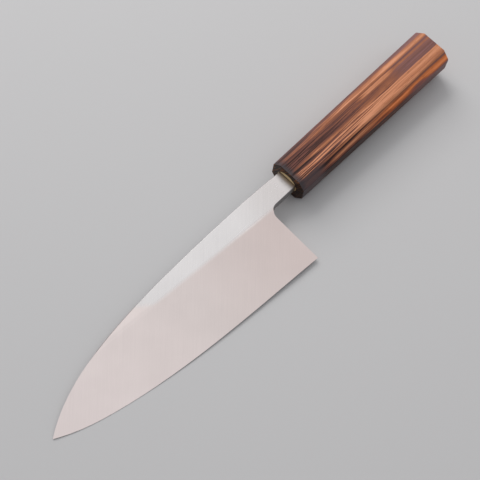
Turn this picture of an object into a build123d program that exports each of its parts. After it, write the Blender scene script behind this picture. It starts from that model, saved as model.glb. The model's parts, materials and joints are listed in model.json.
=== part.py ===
from build123d import *
from math import cos, hypot, radians, sin
import os

# A deba, the heavy fish knife, with a chestnut handle, lying on its flat back. Millimetres.
# The pieces are drawn on a bench: X runs along the handle's axis towards the butt, Y towards the
# spine and Z out of the bevelled face, with the handle's front face at X = 0. They are then laid
# down together as the knife lies on a table.

# Blade outline
blade_length = 180.0
heel_height = 53.4
neck_length = 20.5
neck_height = 13.0
spine_rise = 9.3
neck_dip = 1.5
tip_drop = 24.6
heel_lean = 1.5
choil_radius = 6.0
# Places along the blade from heel to tip, with how far the spine has dropped and the edge has risen
station_shares = (0.0, 0.22, 0.42, 0.62, 0.80, 0.93, 1.0)
spine_drop_shares = (0.018, 0.0, 0.026, 0.128, 0.357, 0.699, 1.0)
edge_rise_shares = (0.0, 0.086, 0.178, 0.325, 0.539, 0.788, 1.0)

# Blade section
heel_thickness = 7.2
point_thickness = 2.0
edge_thickness = 0.25
ridge_drop = 15.5
ridge_end_drop = 5.9
ridge_end_share = 0.71
bevel_end_shares = (-0.08, 1.04)
rim_softening = 0.5
back_softening = 0.3

# Hollow ground into the flat back
hollow_depth = 0.5
edge_rim = 2.5
spine_rim = 3.0
hollow_station_shares = (0.05, 0.10, 0.22, 0.42, 0.62, 0.80, 0.93, 0.97)
hollow_width_shares = (0.45, 0.85, 1.0, 1.0, 1.0, 1.0, 0.9, 0.6)
hollow_depth_shares = (0.12, 0.55, 1.0, 1.0, 0.9, 0.6, 0.3, 0.12)

# Tang: the neck ends at the handle's front and narrows to the tang inside the mouth
neck_relief = 0.3
neck_seat = 6.0
tang_length = 92.0
tang_height = 10.5
tang_end_height = 6.0
tang_thickness = 5.0
tang_end_thickness = 3.0

# Handle
handle_length = 130.4
handle_rise = 0.7
front_width = 24.6
front_thickness = 21.8
front_bevel_width = 4.7
front_bevel_depth = 5.0
butt_width = 27.1
butt_thickness = 21.4
butt_bevel_width = 5.2
butt_bevel_depth = 5.3
under_bevel_depth = 6.4
arris_radius = 0.7
front_softening = 0.4
butt_softening = 1.3
softening_angles = (0, 30, 60, 90)

# Dowel that fills the handle's bore, with the slot for the tang
dowel_diameter = 14.8
dowel_length = 100.0
bore_clearance = 0.1
glue_side = 0.7
glue_end = 0.3

# Where the cutting edge touches the table
touch_share = 0.80

overrun = 2.0
closeness = 0.01

heel_x = -neck_length
tip_x = heel_x - blade_length
neck_top = spine_rise - neck_dip
neck_low = neck_top - neck_height
neck_middle = neck_top - neck_height / 2
heel_y = spine_rise - heel_height
back = -heel_thickness / 2


def between(share, places, values):
    """Value at a share of the way, read off a table of places and values, carried on past its ends."""
    last = len(places) - 2
    i = 0
    while i < last and share > places[i + 1]:
        i = i + 1
    run = (share - places[i]) / (places[i + 1] - places[i])
    return values[i] + (values[i + 1] - values[i]) * run


def place(share):
    return heel_x - share * blade_length


def spine_y(share):
    return spine_rise - tip_drop * between(share, station_shares, spine_drop_shares)


def edge_y(share):
    return heel_y + (heel_height - tip_drop) * between(share, station_shares, edge_rise_shares)


def flat_thickness(share):
    return heel_thickness - (heel_thickness - point_thickness) * share


def ridge_y(share):
    rise = (ridge_drop - ridge_end_drop) * share / ridge_end_share
    return spine_rise - ridge_drop + rise


def edge_curve():
    return Spline([(place(s), edge_y(s)) for s in station_shares])


def spine_curve():
    return Spline([(0, neck_top)] + [(place(s), spine_y(s)) for s in station_shares])


def choil_curve():
    """Under the neck, round the corner and down the square heel."""
    corner = (heel_x - heel_lean, neck_low)
    return FilletPolyline((0, neck_low), corner, (heel_x, heel_y), radius=choil_radius)


def section(share, points):
    """A closed outline across the blade, from (y, height above the back) pairs."""
    return Polyline([(place(share), y, back + z) for y, z in points], close=True)


def blade_blank():
    """The forged outline with the neck, as thick as the blade is at its heel."""
    neck_end = Line((0, neck_top), (0, neck_low))
    outline = make_face([spine_curve(), edge_curve(), choil_curve(), neck_end])
    return Pos(0, 0, back) * extrude(outline, heel_thickness)


def rim(body, side):
    """Edges along the spine, the neck and the heel on one face of the blank, 1 above and -1 below."""
    lines = (spine_curve(), choil_curve())
    chosen = []
    for e in body.edges():
        middle = e @ 0.5
        on_line = min(line.distance_to(Vector(middle.X, middle.Y, 0)) for line in lines) < closeness
        upright = e.bounding_box().size.Z > e.length / 2
        if on_line and not upright and middle.Z * side > 0:
            chosen.append(e)
    return chosen


def softened(body):
    """The blank with the rim rubbed round, more on the face that shows than on the back."""
    body = fillet(rim(body, 1), rim_softening)
    return fillet(rim(body, -1), back_softening)


def above_flat():
    """What the grinding of the flat takes off, so that the blade thins towards the point."""
    shares = (-overrun / blade_length, 1 + overrun / blade_length)
    high = heel_thickness + overrun
    outline = [(place(s), back + flat_thickness(s)) for s in shares]
    outline = outline + [(place(s), back + high) for s in reversed(shares)]
    side = Plane.XZ.offset(-spine_rise - overrun) * make_face(Polyline(outline, close=True))
    return extrude(side, heel_height + 2 * overrun, dir=(0, -1, 0))


def above_bevel():
    """What the grinding of the wide bevel takes off, from the ridge down to the cutting edge."""
    high = heel_thickness + overrun
    wires = []
    first, last = bevel_end_shares
    for s in (first,) + station_shares + (last,):
        low_y = edge_y(s)
        slope = (flat_thickness(s) - edge_thickness) / (ridge_y(s) - low_y)
        far_y = spine_rise + heel_height / 2
        low = edge_thickness - slope * overrun
        top = edge_thickness + slope * (far_y - low_y)
        under = [(low_y - overrun, low), (far_y, top)]
        over = [(far_y, top + high), (low_y - overrun, top + high)]
        wires.append(section(s, under + over))
    return Solid.make_loft([Wire(w.edges()) for w in wires])


def back_hollow():
    """The shallow hollow of the back, inside a narrow rim that stays flat."""
    wires = []
    for s, width, depth in zip(hollow_station_shares, hollow_width_shares, hollow_depth_shares):
        low = edge_y(s) + edge_rim
        top = spine_y(s) - spine_rim
        middle = (low + top) / 2
        half = (top - low) / 2 * width
        x = place(s)
        arc = ThreePointArc(
            (x, middle - half, back),
            (x, middle, back + hollow_depth * depth),
            (x, middle + half, back),
        )
        below = Polyline(
            (x, middle + half, back),
            (x, middle + half, back - overrun),
            (x, middle - half, back - overrun),
            (x, middle - half, back),
        )
        wires.append(Wire(arc.edges() + below.edges()))
    return Solid.make_loft(wires)


def tang_solid(relief, side, end):
    """The tapering tang, or with allowances for the glue the slot that takes it."""
    mouth = Plane(origin=(0, neck_middle, 0), x_dir=(0, 1, 0), z_dir=(1, 0, 0))
    rings = [
        mouth * Rectangle(neck_height - 2 * relief + 2 * end, heel_thickness - 2 * relief + 2 * side),
        mouth.offset(neck_seat) * Rectangle(tang_height + 2 * end, tang_thickness + 2 * side),
        mouth.offset(tang_length + end) * Rectangle(tang_end_height + 2 * end, tang_end_thickness + 2 * side),
    ]
    return loft([r.face() for r in rings], ruled=True)


def blade():
    body = softened(blade_blank() - above_flat()) - above_bevel() - back_hollow()
    return body + tang_solid(neck_relief, 0, 0)


def bevel_pair(half_w, half_t, cut_w, cut_t, inset):
    """The two corners of one bevel, its cuts made smaller so that it moves inwards as far as the sides."""
    lost = inset * (cut_w + cut_t - hypot(cut_w, cut_t))
    return [(half_w, half_t - cut_t + lost / cut_w), (half_w - cut_w + lost / cut_t, half_t)]


def handle_ring(x, inset, share):
    """The octagon of the handle across its axis, with the arrises rubbed round."""
    half_w = (front_width + (butt_width - front_width) * share) / 2 - inset
    half_t = (front_thickness + (butt_thickness - front_thickness) * share) / 2 - inset
    cut_w = front_bevel_width + (butt_bevel_width - front_bevel_width) * share
    cut_t = front_bevel_depth + (butt_bevel_depth - front_bevel_depth) * share
    over = bevel_pair(half_w, half_t, cut_w, cut_t, inset)
    under = bevel_pair(half_w, half_t, cut_w, under_bevel_depth, inset)
    spine_side = [(y, -z) for y, z in reversed(under)] + over
    edge_side = [(-y, z) for y, z in reversed(spine_side)]
    octagon = make_face(Polyline(spine_side + edge_side, close=True))
    octagon = fillet(octagon.vertices(), arris_radius)
    return Plane(origin=(x, handle_rise, 0), x_dir=(0, 1, 0), z_dir=(1, 0, 0)) * octagon


def handle():
    """The tapered octagon with both ends rubbed round, and the bore for the dowel."""
    rings = []
    for angle in reversed(softening_angles):
        x = front_softening * (1 - sin(radians(angle)))
        rings.append(handle_ring(x, front_softening * (1 - cos(radians(angle))), x / handle_length))
    for angle in softening_angles:
        x = handle_length - butt_softening * (1 - sin(radians(angle)))
        rings.append(handle_ring(x, butt_softening * (1 - cos(radians(angle))), x / handle_length))
    body = loft([r.face() for r in rings], ruled=True)
    return body - bore(bore_clearance)


def bore(clearance):
    """The dowel's own round rod, or with a clearance the bore that takes it."""
    mouth = Plane(origin=(0, neck_middle, 0), x_dir=(0, 1, 0), z_dir=(1, 0, 0))
    return extrude(mouth * Circle(dowel_diameter / 2 + clearance), dowel_length + clearance)


def tang_slot():
    """The slot in the dowel, as wide at the mouth as the neck and its glue."""
    return tang_solid(0, glue_side, glue_end)


def dowel():
    """The round dowel, slotted for the tang."""
    return bore(0) - tang_slot()


def glue(blade_piece):
    """The dark glue that fills the slot round the tang, seen as a line round the neck at the mouth."""
    return (tang_slot() & bore(0)) - blade_piece


def laid_down(pieces):
    """Turns the knife as it lies: on the handle's front corner and on the belly of the cutting edge."""
    edge = edge_curve()
    point = edge @ touch_share
    touch = Vector(point.X, point.Y, back)
    along = edge % touch_share
    low_y = handle_rise + front_bevel_width - front_width / 2
    corner = Vector(front_softening, low_y, -front_thickness / 2)
    up = along.cross(corner - touch).normalized()
    if up.Z < 0:
        up = -up
    table = Plane(origin=touch, x_dir=(1, 0, 0), z_dir=up)
    turned = {name: table.location.inverse() * solid for name, solid in pieces.items()}
    boxes = [solid.bounding_box() for solid in turned.values()]
    middle_x = (min(b.min.X for b in boxes) + max(b.max.X for b in boxes)) / 2
    middle_y = (min(b.min.Y for b in boxes) + max(b.max.Y for b in boxes)) / 2
    shift = Pos(-middle_x, -middle_y, -min(b.min.Z for b in boxes))
    return {name: shift * solid for name, solid in turned.items()}


def build():
    steel = blade()
    pieces = {"blade": steel, "handle": handle(), "tang_dowel": dowel(), "tang_glue": glue(steel)}
    return laid_down(pieces)


os.makedirs("parts", exist_ok=True)
for name, solid in build().items():
    export_step(solid, os.path.join("parts", name + ".step"))
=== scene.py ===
import json
import math
import bpy
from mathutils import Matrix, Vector

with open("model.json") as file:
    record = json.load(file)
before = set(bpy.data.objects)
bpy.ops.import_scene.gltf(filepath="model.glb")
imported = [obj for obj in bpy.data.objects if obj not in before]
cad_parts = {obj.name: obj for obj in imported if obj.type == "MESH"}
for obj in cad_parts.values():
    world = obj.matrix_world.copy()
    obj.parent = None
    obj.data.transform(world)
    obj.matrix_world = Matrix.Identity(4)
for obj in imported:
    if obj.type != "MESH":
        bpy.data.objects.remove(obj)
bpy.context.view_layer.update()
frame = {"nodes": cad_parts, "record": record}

# The knife's own axes, in the frame: along the handle to the butt, towards the spine, out of the bevel.
# Materials are drawn in millimetres along them, from where the neck's axis meets the handle's front face.
# The handle's middle lies a little nearer the spine than that axis.
mounts = {m["name"]: m for m in frame["record"]["mounts"]}
along = Vector(mounts["butt_end"]["axis"]).normalized()
outward = -Vector(mounts["blade_back"]["axis"]).normalized()
spineward = outward.cross(along).normalized()
butt_middle = Vector(mounts["butt_end"]["pos_m"])
handle_length = max((butt_middle - v.co).dot(along) for v in frame["nodes"]["handle"].data.vertices)
handle_rise = 0.0007
front_middle = butt_middle - along * handle_length - spineward * handle_rise
millimetres = 1000.0


def new_tree(name):
    material = bpy.data.materials.new(name)
    material.use_nodes = True
    tree = material.node_tree
    tree.nodes.clear()
    output = tree.nodes.new("ShaderNodeOutputMaterial")
    shader = tree.nodes.new("ShaderNodeBsdfPrincipled")
    tree.links.new(shader.outputs["BSDF"], output.inputs["Surface"])
    return material, tree, shader


def feed(tree, socket, value):
    """Sets a socket to a value, or links it to another node's output."""
    if isinstance(value, bpy.types.NodeSocket):
        tree.links.new(value, socket)
    elif isinstance(value, tuple) and len(socket.default_value) > len(value):
        socket.default_value = value + (1.0,)
    else:
        socket.default_value = value


def calc(tree, operation, first, second=0.0):
    node = tree.nodes.new("ShaderNodeMath")
    node.operation = operation
    feed(tree, node.inputs[0], first)
    feed(tree, node.inputs[1], second)
    return node.outputs["Value"]


def plus(tree, first, second):
    return calc(tree, "ADD", first, second)


def less(tree, first, second):
    return calc(tree, "SUBTRACT", first, second)


def times(tree, first, second):
    return calc(tree, "MULTIPLY", first, second)


def size_of(tree, value):
    return calc(tree, "ABSOLUTE", value)


def swing(tree, value, amount):
    """A value that runs from 0 to 1, turned into one that runs as far below zero as above it."""
    return times(tree, less(tree, value, 0.5), 2.0 * amount)


def ramped(tree, value, low, high, to_low, to_high):
    """A smooth change from one number to another while a value runs from low to high."""
    node = tree.nodes.new("ShaderNodeMapRange")
    node.interpolation_type = "SMOOTHSTEP"
    for name, number in (("Value", value), ("From Min", low), ("From Max", high)):
        feed(tree, node.inputs[name], number)
    feed(tree, node.inputs["To Min"], to_low)
    feed(tree, node.inputs["To Max"], to_high)
    return node.outputs["Result"]


def dot(tree, vector, axis):
    node = tree.nodes.new("ShaderNodeVectorMath")
    node.operation = "DOT_PRODUCT"
    feed(tree, node.inputs[0], vector)
    node.inputs[1].default_value = axis
    return node.outputs["Value"]


def joined(tree, x, y, z):
    node = tree.nodes.new("ShaderNodeCombineXYZ")
    for socket, value in zip(node.inputs, (x, y, z)):
        feed(tree, socket, value)
    return node.outputs["Vector"]


def knife_place(tree):
    """A point's place along the knife's own axes, in millimetres: three numbers."""
    point = tree.nodes.new("ShaderNodeTexCoord").outputs["Object"]
    places = []
    for axis in (along, spineward, outward):
        reach = dot(tree, point, axis * millimetres)
        places.append(less(tree, reach, front_middle.dot(axis) * millimetres))
    return places


def noise(tree, vector, scale, offset=(0.0, 0.0, 0.0), detail=3.0, roughness=0.5):
    """Smooth noise on a vector, with a scale for each direction."""
    node = tree.nodes.new("ShaderNodeVectorMath")
    node.operation = "MULTIPLY_ADD"
    feed(tree, node.inputs[0], vector)
    node.inputs[1].default_value = scale
    node.inputs[2].default_value = offset
    texture = tree.nodes.new("ShaderNodeTexNoise")
    feed(tree, texture.inputs["Vector"], node.outputs["Vector"])
    texture.inputs["Scale"].default_value = 1.0
    texture.inputs["Detail"].default_value = detail
    texture.inputs["Roughness"].default_value = roughness
    return texture.outputs["Fac"]


def blended(tree, share, first, second):
    """A colour between two, each a colour or another node's output."""
    node = tree.nodes.new("ShaderNodeMix")
    node.data_type = "RGBA"
    feed(tree, node.inputs["Factor"], share)
    feed(tree, node.inputs[6], first)
    feed(tree, node.inputs[7], second)
    return node.outputs[2]


def ramp(tree, value, stops):
    """A colour read off a ramp of stops, each a position and a colour."""
    node = tree.nodes.new("ShaderNodeValToRGB")
    feed(tree, node.inputs["Fac"], value)
    elements = node.color_ramp.elements
    elements[0].position, elements[0].color = stops[0][0], stops[0][1] + (1.0,)
    elements[1].position, elements[1].color = stops[-1][0], stops[-1][1] + (1.0,)
    for position, colour in stops[1:-1]:
        elements.new(position).color = colour + (1.0,)
    return node.outputs["Color"]


def scaled(tree, colour, amount):
    """A colour made brighter or darker by a number, or tinted by another colour."""
    node = tree.nodes.new("ShaderNodeVectorMath")
    node.operation = "MULTIPLY" if isinstance(amount, tuple) else "SCALE"
    feed(tree, node.inputs[0], colour)
    feed(tree, node.inputs[1] if isinstance(amount, tuple) else node.inputs["Scale"], amount)
    return node.outputs["Vector"]


def bump(tree, shader, height):
    """Relief from a height in millimetres."""
    node = tree.nodes.new("ShaderNodeBump")
    node.inputs["Strength"].default_value = 1.0
    node.inputs["Distance"].default_value = 1.0 / millimetres
    feed(tree, node.inputs["Height"], height)
    feed(tree, shader.inputs["Normal"], node.outputs["Normal"])


# The blade's ridge: its height at the heel, its climb towards the point, and how wide it is rubbed round
heel_place = -20.5
ridge_start = -6.2
ridge_climb = 0.0751
ridge_angle = math.radians(10.4)
ridge_softness = 1.6
# The flat's finish ends in a slanting line before the point
flat_end = -110.0
flat_end_slant = 1.3
flat_end_softness = 4.0
# Steel colours, the bevel's by share of the blade's length from the handle; the bevel's pink warmth is a
# painted reflection
blade_reach = 180.0
flat_colour = (0.735, 0.718, 0.722)
# Painted shade and reflection: the neck darkens towards the handle, where the handle's dark front shades it
# and is mirrored in it
neck_shaded_colour = (0.655, 0.625, 0.622)
neck_shade = (-45.0, -10.0)
bevel_colours = [(0.15, (0.69, 0.595, 0.575)), (0.50, (0.72, 0.648, 0.634)), (0.95, (0.78, 0.70, 0.69))]
# Painted reflection: the handle's dark mouth and the pale dowel, mirrored in the neck's last millimetres,
# painted brown onto the steel
mouth_reflection_colour = (0.24, 0.16, 0.08)
mouth_reflection_reach = (-3.2, -0.2)
mouth_reflection_strength = 0.75
# Scratches run along the blade on the flat, and slant across it on the bevel
flat_scratches = (0.04, 3.2, 0.5)
bevel_scratches = (0.035, 1.3, 1.0)
along_scratch = (0.713, 0.701, 0.0)
across_scratch = (-0.701, 0.713, 0.0)
scratch_depth = 0.0025
scratch_tint = 0.07
cloud_size = (0.03, 0.03, 0.03)
cloud_range = (0.3, 0.7)
cloud_change = 0.025
# How far the surface leans to the spine on its rims and sides, and to the edge on the others
spine_lean = (0.03, 0.10)
edge_lean = (-0.30, -0.50)
# Gloss: the bevel's and the flat's roughness, and what the neck's end, the rims and the scratches change
bevel_roughness = 0.33
flat_roughness = 0.26
dull_neck = (-9.0, 0.0)
dull_neck_roughness = 0.20
rim_roughness = 0.20
# Painted shade: the rims' colour is darkened to this share, to tone down their highlight
rim_painted_shade = 0.55
scratch_roughness = 0.04


def above_ridge(tree, x, y):
    """How far a point of the blade lies above the ridge."""
    ridge = plus(tree, times(tree, x, -ridge_climb), ridge_start + heel_place * ridge_climb)
    return less(tree, y, ridge)


def flat_share(tree, x, above):
    """One on the blade's flat, nothing on its bevel and beyond the flat's end."""
    over = ramped(tree, above, -ridge_softness, ridge_softness, 0.0, 1.0)
    reach = plus(tree, x, times(tree, above, flat_end_slant))
    before = ramped(tree, reach, flat_end - flat_end_softness, flat_end + flat_end_softness, 0.0, 1.0)
    return times(tree, over, before)


def rim_share(tree):
    """One on the rims and sides of the blade, which lean to the spine or to the edge."""
    normal = tree.nodes.new("ShaderNodeNewGeometry").outputs["Normal"]
    lean = dot(tree, normal, spineward)
    return plus(tree, ramped(tree, lean, *spine_lean, 0.0, 1.0), ramped(tree, lean, *edge_lean, 0.0, 1.0))


def steel_colour(tree, x, place, on_flat, rim, across):
    """Warm at the heel, pale at the point and on the flat. The bevel's pink warmth is a painted reflection,
    the neck's darkening towards the handle is painted shade and reflection, the rims are dulled by painted
    shade that tones down their highlight, and the brown on the neck's last millimetres is a painted
    reflection of the handle's mouth.
    """
    cloud = noise(tree, place, cloud_size)
    cloud = ramped(tree, cloud, *cloud_range, 1.0 - cloud_change, 1.0 + cloud_change)
    bevel = scaled(tree, ramp(tree, times(tree, x, -1.0 / blade_reach), bevel_colours), cloud)
    # Painted shade and reflection darkening the neck towards the handle
    neck_shade_share = ramped(tree, x, *neck_shade, 0.0, 1.0)
    flat = blended(tree, neck_shade_share, scaled(tree, flat_colour, cloud), neck_shaded_colour)
    tint = plus(tree, swing(tree, across, scratch_tint), 1.0)
    colour = scaled(tree, blended(tree, on_flat, bevel, flat), tint)
    # Painted shade on the rims, dimming their highlight
    colour = scaled(tree, colour, ramped(tree, rim, 0.0, 1.0, 1.0, rim_painted_shade))
    # Painted reflection of the handle's mouth, brown over the neck's last millimetres
    return blended(tree, ramped(tree, x, *mouth_reflection_reach, 0.0, mouth_reflection_strength), colour, mouth_reflection_colour)


def steel_roughness(tree, x, on_flat, rim, streaks):
    rough = ramped(tree, on_flat, 0.0, 1.0, bevel_roughness, flat_roughness)
    rough = plus(tree, rough, ramped(tree, x, *dull_neck, 0.0, dull_neck_roughness))
    rough = plus(tree, rough, times(tree, rim, rim_roughness))
    return plus(tree, rough, swing(tree, streaks, scratch_roughness))


def ridge_rounding(tree, above):
    """The height that rubs the ridge round, so that the light passes over it softly."""
    near = calc(tree, "MAXIMUM", less(tree, ridge_softness, size_of(tree, above)), 0.0)
    return times(tree, times(tree, near, near), -math.tan(ridge_angle / 2) / (2 * ridge_softness))


def steel():
    """Ground steel: a brighter, finer flat above the ridge and a satin bevel below it, warmed by a painted
    pink reflection.
    """
    material, tree, shader = new_tree("blade_steel")
    x, y, z = knife_place(tree)
    place = joined(tree, x, y, z)
    above = above_ridge(tree, x, y)
    on_flat = flat_share(tree, x, above)
    rim = rim_share(tree)
    fine = noise(tree, place, flat_scratches, detail=5.0, roughness=0.7)
    aslant = joined(tree, dot(tree, place, along_scratch), dot(tree, place, across_scratch), 0.0)
    across = noise(tree, aslant, bevel_scratches, detail=5.0, roughness=0.75)
    streaks = ramped(tree, on_flat, 0.0, 1.0, across, fine)
    feed(tree, shader.inputs["Base Color"], steel_colour(tree, x, place, on_flat, rim, across))
    shader.inputs["Metallic"].default_value = 1.0
    feed(tree, shader.inputs["Roughness"], steel_roughness(tree, x, on_flat, rim, streaks))
    bump(tree, shader, plus(tree, ridge_rounding(tree, above), times(tree, streaks, scratch_depth)))
    return material


# The wood's rings: which way they are stacked, and how dark each is, from the edge's side to the spine's
ring_axis = (0.0, 0.92, 0.39)
ring_depth_axis = (0.0, -0.39, 0.92)
ring_span = 18.0
# The near-black tones below about ring -9, on the edge-side face under the chamfer, are partly char and
# partly painted shadow
ring_tones = [
    (-18.0, 0.80), (-14.0, 0.97), (-10.2, 0.98), (-9.3, 0.92), (-8.6, 0.58), (-7.4, 0.28), (-6.4, 0.08),
    (-5.4, 0.24), (-4.8, 0.46), (-4.3, 0.88), (-3.9, 0.85), (-3.5, 0.32), (-3.1, 0.16), (-2.2, 0.16),
    (-1.5, 0.22), (-1.0, 0.14), (0.2, 0.09), (1.9, 0.11), (2.8, 0.18), (3.2, 0.60), (4.7, 0.63), (10.1, 0.62),
    (10.4, 0.84), (10.7, 0.78), (11.1, 0.30), (12.1, 0.06), (13.1, 0.22), (13.7, 0.54), (14.4, 0.76),
    (16.5, 0.55), (18.0, 0.45),
]
# How long a streak takes to fade in along the handle, and how much of its width has its full tone
streak_fade = 12.0
band_core_share = 0.3
# Streaks that come and go along the handle: ring, half width, first and last place, change of tone
ring_streaks = [
    (9.3, 1.7, 6.0, 30.0, 0.10),
    (9.2, 1.8, 62.0, 102.0, -0.42),
    (9.2, 1.0, 92.0, 160.0, -0.28),
    (5.0, 2.4, 96.0, 160.0, 0.10),
    (6.0, 3.4, 74.0, 100.0, -0.13),
    (3.3, 0.7, 96.0, 160.0, 0.25),
    (4.3, 0.9, -20.0, 46.0, -0.20),
    (4.35, 0.5, 15.0, 30.0, -0.30),
    (5.3, 0.5, 12.0, 30.0, -0.20),
    (3.3, 0.6, -20.0, 18.0, 0.16),
    (0.9, 0.5, -5.0, 20.0, 0.25),
    (-0.6, 0.4, 4.0, 28.0, -0.25),
    (-1.2, 0.5, -5.0, 17.0, 0.34),
    (-1.5, 0.6, 22.0, 37.0, 0.20),
    (-1.3, 0.5, 38.0, 58.0, 0.25),
    (-1.4, 0.6, 57.0, 88.0, 0.28),
    (-2.8, 0.9, 76.0, 112.0, -0.16),
    (-2.4, 1.0, 112.0, 160.0, 0.12),
    (-4.1, 0.9, 66.0, 160.0, -0.25),
    (-5.0, 1.1, 8.0, 32.0, 0.35),
    (-6.6, 2.0, 10.0, 32.0, 0.30),
    (-5.3, 0.6, 76.0, 98.0, 0.22),
    (-7.4, 0.8, 28.0, 82.0, 0.30),
    (-7.6, 1.4, 92.0, 112.0, 0.42),
    (-7.8, 1.6, 108.0, 160.0, -0.25),
    (-8.7, 0.9, -20.0, 66.0, 0.34),
    (12.6, 2.2, -20.0, 36.0, 0.26),
    (12.8, 0.5, 26.0, 40.0, 0.25),
    (12.6, 1.4, 84.0, 114.0, -0.20),
    (10.3, 0.4, 44.0, 100.0, -0.25),
]
# Tone of the wood, from fresh to burnt
burn_colours = [
    (0.0, (0.73, 0.312, 0.168)), (0.15, (0.61, 0.242, 0.120)), (0.30, (0.47, 0.174, 0.080)),
    (0.45, (0.34, 0.118, 0.056)), (0.60, (0.230, 0.079, 0.044)), (0.72, (0.182, 0.065, 0.048)),
    (0.84, (0.125, 0.046, 0.036)), (0.93, (0.078, 0.026, 0.020)), (1.0, (0.030, 0.011, 0.009)),
]
char_grey = (0.060, 0.050, 0.056)
char_mauve = (0.098, 0.066, 0.070)
# Painted sheen: a grey-mauve that stands in for the soft light's reflection on the burnt wood
sheen_mauve = (0.28, 0.137, 0.133)
amber_tint = (1.30, 0.96, 0.62)
# Partly char and partly painted shade: the end face's brown is kept near black
face_char_and_shade = (0.018, 0.006, 0.002)
face_amber = (0.19, 0.062, 0.011)
# How far along the handle the scorch of the front reaches, how dark it is, and how far it spares burnt wood
scorch_reach = (-15.0, 80.0)
scorch_tone = 0.43
scorch_sparing = 0.7
# Noise in the wood: its scales along the handle, across the rings and along them, where it starts, its change
drift_size = (0.012, 0.05, 0.05)
drift_change = 0.8
wave_size = (0.04, 0.3, 0.3)
wave_start = (5.0, 5.0, 5.0)
wave_change = 0.5
broad_size = (0.018, 0.5, 0.15)
broad_start = (3.0, 7.0, 1.0)
broad_change = 0.12
pore_size = (0.22, 3.6, 3.6)
pore_start = (1.0, 4.0, 2.0)
pore_range = (0.60, 0.72)
pore_change = 0.22
pore_depth = 0.04
# Fine lines: strong near the front, faint from there on
line_size = (0.020, 1.45, 0.35)
line_start = (9.0, 3.1, 5.0)
line_crispness = (0.44, 0.56)
line_reach = (55.0, 100.0)
line_change = (0.40, 0.10)
line_depth = 0.05
# The fresh band where the lines stand out most, how far it reaches, and the lines' strength in and beyond it
fresh_ring = 1.0
fresh_fade = (2.2, 4.2)
fresh_strength = (1.0, 0.42)
# The char's ragged edge: how ragged, how far and strong over the lower corner, and over the whole front
char_raggedness = 6.0
corner_char = (13.0, 24.0)
corner_char_strength = 0.9
corner_rings = (-1.8, -2.6)
front_char = (0.9, 4.6)
front_char_strength = 0.92
# Where amber and a painted grey-mauve sheen show: along the handle, in which rings, and in wood of which tone
amber_reach = (50.0, 80.0)
amber_rings = (-4.6, -5.4)
sheen_reach = (84.0, 106.0)
sheen_reach_strength = 0.55
sheen_rings = (13.2, 14.0)
sheen_ring_strength = 0.3
sheen_tones = (0.30, 0.60)
sheen_lines = (0.32, 0.68)
sheen_contrast = (0.70, 1.30)
# The front end face: how deep its brown goes, where its ring lines glow, and how a painted shadow dims them
# towards the edge's side
face_depth = (0.12, 0.5)
end_line_size = (0.02, 1.1, 0.12)
end_line_start = (2.0, 8.0, 3.0)
glow_range = (0.48, 0.64)
glow_strength = 0.9
glow_shadow_rings = (-8.0, 0.0)
glow_shadow_fade = (0.35, 1.0)
# Gloss of the wood
wood_gloss = 0.25
gloss_range = (0.3, 0.7)
wood_roughness = (0.42, 0.55)


def band(tree, value, middle, half):
    """One inside a band, fading to nothing at its two sides."""
    gap = size_of(tree, less(tree, value, middle))
    return ramped(tree, gap, half, half * band_core_share, 0.0, 1.0)


def ring_tone(tree, x, ring):
    """How dark the rings and the streaks make the wood."""
    share = times(tree, plus(tree, ring, ring_span), 0.5 / ring_span)
    stops = [((place + ring_span) / (2 * ring_span), (tone, tone, tone)) for place, tone in ring_tones]
    tone = ramp(tree, share, stops)
    for middle, half, first, last, change in ring_streaks:
        fade = min(streak_fade, (last - first) / 2)
        start = ramped(tree, x, first, first + fade, 0.0, change)
        finish = ramped(tree, x, last - fade, last, 1.0, 0.0)
        streak = times(tree, times(tree, start, finish), band(tree, ring, middle, half))
        tone = plus(tree, tone, streak)
    return tone


def line_strength(tree, x, ring):
    """Fine lines stand out most in the fresh bands near the front."""
    from_fresh = size_of(tree, less(tree, ring, fresh_ring))
    fresh = ramped(tree, from_fresh, *fresh_fade, *fresh_strength)
    return times(tree, ramped(tree, x, *line_reach, *line_change), fresh)


def burnt_tone(tree, x, ring, grain, lines):
    """How dark the wood is: its rings and streaks, the scorch near the front, and fine lines."""
    tone = ring_tone(tree, x, ring)
    # The scorch darkens the fresh bands most
    scorch = ramped(tree, x, *scorch_reach, scorch_tone, 0.0)
    tone = plus(tree, tone, times(tree, scorch, plus(tree, times(tree, tone, -scorch_sparing), 1.0)))
    broad = noise(tree, grain, broad_size, broad_start, detail=2.0)
    tone = plus(tree, tone, swing(tree, broad, broad_change))
    crisp = ramped(tree, lines, *line_crispness, -1.0, 1.0)
    return plus(tree, tone, times(tree, crisp, line_strength(tree, x, ring)))


def amber_and_sheen(tree, x, ring, tone, lines, colour):
    """Amber in the fresh wood below the dark line, and a painted grey-mauve sheen over the burnt wood near
    the butt and along the spine-side edge.
    """
    amber = times(tree, ramped(tree, ring, *amber_rings, 0.0, 1.0), ramped(tree, x, *amber_reach, 0.0, 1.0))
    colour = blended(tree, amber, colour, scaled(tree, colour, amber_tint))
    # Painted sheen over the burnt wood near the butt and along the spine-side edge
    far_sheen = ramped(tree, x, *sheen_reach, 0.0, sheen_reach_strength)
    sheen_share = plus(tree, far_sheen, ramped(tree, ring, *sheen_rings, 0.0, sheen_ring_strength))
    sheen_share = times(tree, sheen_share, ramped(tree, tone, *sheen_tones, 0.0, 1.0))
    sheen_colour = scaled(tree, sheen_mauve, ramped(tree, lines, *sheen_lines, *sheen_contrast))
    return blended(tree, sheen_share, colour, sheen_colour)


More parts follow.
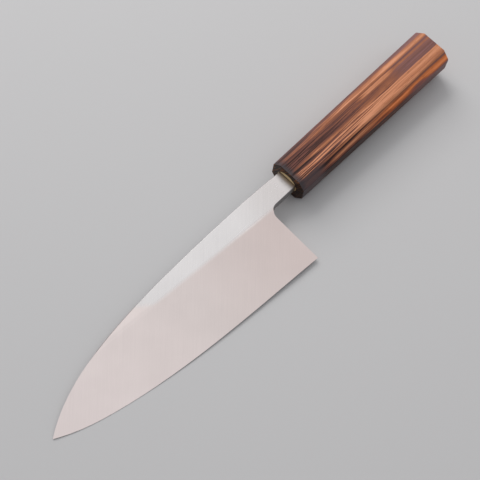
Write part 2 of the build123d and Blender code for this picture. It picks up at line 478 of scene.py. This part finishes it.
def charred_front(tree, x, ring, lines, colour):
    """Char near the front: mauve over the lower corner, and grey over the first millimetres."""
    ragged = plus(tree, x, swing(tree, lines, char_raggedness))
    low = ramped(tree, ring, *corner_rings, 0.0, 1.0)
    corner = times(tree, ramped(tree, ragged, *corner_char, corner_char_strength, 0.0), low)
    colour = blended(tree, corner, colour, char_mauve)
    front = ramped(tree, ragged, *front_char, front_char_strength, 0.0)
    return blended(tree, front, colour, char_grey)


def end_face(tree, x, ring, grain, colour):
    """The front end face is dark brown, partly char and partly painted shade, with amber ring lines that a
    painted shadow dims towards the edge's side.
    """
    face = ramped(tree, x, *face_depth, 1.0, 0.0)
    ring_lines = noise(tree, grain, end_line_size, end_line_start)
    glow = ramped(tree, ring_lines, *glow_range, 0.0, glow_strength)
    # Painted shadow dimming the ring lines towards the edge's side
    glow = times(tree, glow, ramped(tree, ring, *glow_shadow_rings, *glow_shadow_fade))
    return blended(tree, face, colour, blended(tree, glow, face_char_and_shade, face_amber))


def chestnut():
    """Scorched chestnut: straight bands of orange and dark brown, pores, and a charred front end."""
    material, tree, shader = new_tree("burnt_chestnut")
    x, y, z = knife_place(tree)
    place = joined(tree, x, y, z)
    drift = noise(tree, place, drift_size, detail=2.0)
    wave = noise(tree, place, wave_size, wave_start)
    ring = plus(tree, dot(tree, place, ring_axis), swing(tree, drift, drift_change))
    ring = plus(tree, ring, swing(tree, wave, wave_change))
    grain = joined(tree, x, ring, dot(tree, place, ring_depth_axis))
    lines = noise(tree, grain, line_size, line_start, detail=1.0)
    pores = noise(tree, grain, pore_size, pore_start, detail=2.0)
    pore = ramped(tree, pores, *pore_range, 0.0, 1.0)
    tone = plus(tree, burnt_tone(tree, x, ring, grain, lines), times(tree, pore, pore_change))
    colour = amber_and_sheen(tree, x, ring, tone, lines, ramp(tree, tone, burn_colours))
    colour = charred_front(tree, x, ring, lines, colour)
    colour = end_face(tree, x, ring, grain, colour)
    feed(tree, shader.inputs["Base Color"], colour)
    feed(tree, shader.inputs["Roughness"], ramped(tree, lines, *gloss_range, *wood_roughness))
    shader.inputs["Specular IOR Level"].default_value = wood_gloss
    bump(tree, shader, plus(tree, times(tree, lines, -line_depth), times(tree, pore, -pore_depth)))
    return material


# The dowel's end grain
# Partly painted light: the pale end grain is brighter than the wood's own tone, standing in for light caught
# on the dowel's end
pale_grain_and_painted_light = (0.95, 0.76, 0.44)
dark_end_grain = (0.70, 0.47, 0.20)
end_grain_size = (0.04, 0.5, 1.6)
end_grain_range = (0.35, 0.65)
end_grain_roughness = (0.40, 0.55)
end_grain_depth = 0.05


def light_wood():
    """Plain pale wood, seen as end grain at the handle's mouth, with its pale tone brightened by painted
    light.
    """
    material, tree, shader = new_tree("light_wood")
    place = joined(tree, *knife_place(tree))
    grain = noise(tree, place, end_grain_size, detail=4.0, roughness=0.6)
    darker = ramped(tree, grain, *end_grain_range, 0.0, 1.0)
    feed(tree, shader.inputs["Base Color"], blended(tree, darker, pale_grain_and_painted_light, dark_end_grain))
    feed(tree, shader.inputs["Roughness"], ramped(tree, grain, *gloss_range, *end_grain_roughness))
    bump(tree, shader, times(tree, grain, end_grain_depth))
    return material


# The glue
glue_dark = (0.03, 0.014, 0.006)
glue_brown = (0.11, 0.05, 0.02)
glue_lump_size = (1.2, 1.2, 1.2)
glue_roughness = (0.25, 0.50)
glue_lump_depth = 0.08


def dark_glue():
    """Dark set glue, a little glossy and uneven."""
    material, tree, shader = new_tree("dark_glue")
    place = joined(tree, *knife_place(tree))
    lumps = noise(tree, place, glue_lump_size)
    feed(tree, shader.inputs["Base Color"], blended(tree, lumps, glue_dark, glue_brown))
    feed(tree, shader.inputs["Roughness"], ramped(tree, lumps, *gloss_range, *glue_roughness))
    bump(tree, shader, times(tree, lumps, glue_lump_depth))
    return material


def dress(node, material):
    mesh = frame["nodes"][node].data
    mesh.materials.clear()
    mesh.materials.append(material)


# Camera at the photograph's viewing angle
look_at = Vector((-0.00797, 0.01236, 0.0))
camera_azimuth = math.radians(-45.54)
camera_elevation = math.radians(62.83)
camera_distance = 0.6958
camera_field = math.radians(22.92)


def towards(azimuth, elevation):
    """A direction as seen from the knife: azimuth 0 is behind a viewer who looks along +Y."""
    flat = math.cos(elevation)
    return Vector((math.sin(azimuth) * flat, -math.cos(azimuth) * flat, math.sin(elevation)))


def add_camera():
    data = bpy.data.cameras.new("camera")
    data.sensor_width = 36.0
    data.angle = camera_field
    data.clip_start, data.clip_end = 0.01, 20.0
    camera = bpy.data.objects.new("camera", data)
    bpy.context.scene.collection.objects.link(camera)
    back = towards(camera_azimuth, camera_elevation)
    camera.location = look_at + back * camera_distance
    camera.rotation_euler = back.to_track_quat("Z", "Y").to_euler()
    bpy.context.scene.camera = camera


def softbox(name, azimuth, elevation, distance, size, power, colour):
    data = bpy.data.lights.new(name, "AREA")
    data.shape = "SQUARE"
    data.size = size
    data.energy = power
    data.color = colour
    light = bpy.data.objects.new(name, data)
    bpy.context.scene.collection.objects.link(light)
    direction = towards(camera_azimuth + math.radians(azimuth), math.radians(elevation))
    light.location = direction * distance
    light.rotation_euler = direction.to_track_quat("Z", "Y").to_euler()


# Two soft lights: azimuth from the camera and elevation in degrees, distance, size, power and colour
softboxes = {
    "key": (203, 43, 1.4, 0.9, 9.6, (1.0, 0.98, 0.96)),
    "top": (125, 75, 1.2, 1.8, 5.9, (1.0, 0.985, 0.975)),
}
studio_colour = (0.97, 0.98, 1.0, 1.0)
studio_strength = 0.32


def add_lights():
    for name, settings in softboxes.items():
        softbox(name, *settings)
    world = bpy.data.worlds.new("studio")
    world.use_nodes = True
    background = world.node_tree.nodes["Background"]
    background.inputs["Color"].default_value = studio_colour
    background.inputs["Strength"].default_value = studio_strength
    bpy.context.scene.world = world


# The floor
floor_half = 3.0
floor_colour = (0.60, 0.60, 0.61, 1.0)
floor_roughness = 0.8


def add_floor():
    """A plain pale floor under the knife."""
    mesh = bpy.data.meshes.new("floor")
    corners = [(-1, -1), (1, -1), (1, 1), (-1, 1)]
    corners = [(x * floor_half, y * floor_half, 0.0) for x, y in corners]
    mesh.from_pydata(corners, [], [(0, 1, 2, 3)])
    floor = bpy.data.objects.new("floor", mesh)
    bpy.context.scene.collection.objects.link(floor)
    material, tree, shader = new_tree("floor")
    shader.inputs["Base Color"].default_value = floor_colour
    shader.inputs["Roughness"].default_value = floor_roughness
    mesh.materials.append(material)


dress("blade", steel())
dress("handle", chestnut())
dress("tang_dowel", light_wood())
dress("tang_glue", dark_glue())
add_camera()
add_lights()
add_floor()
bpy.context.scene.view_settings.view_transform = "Standard"
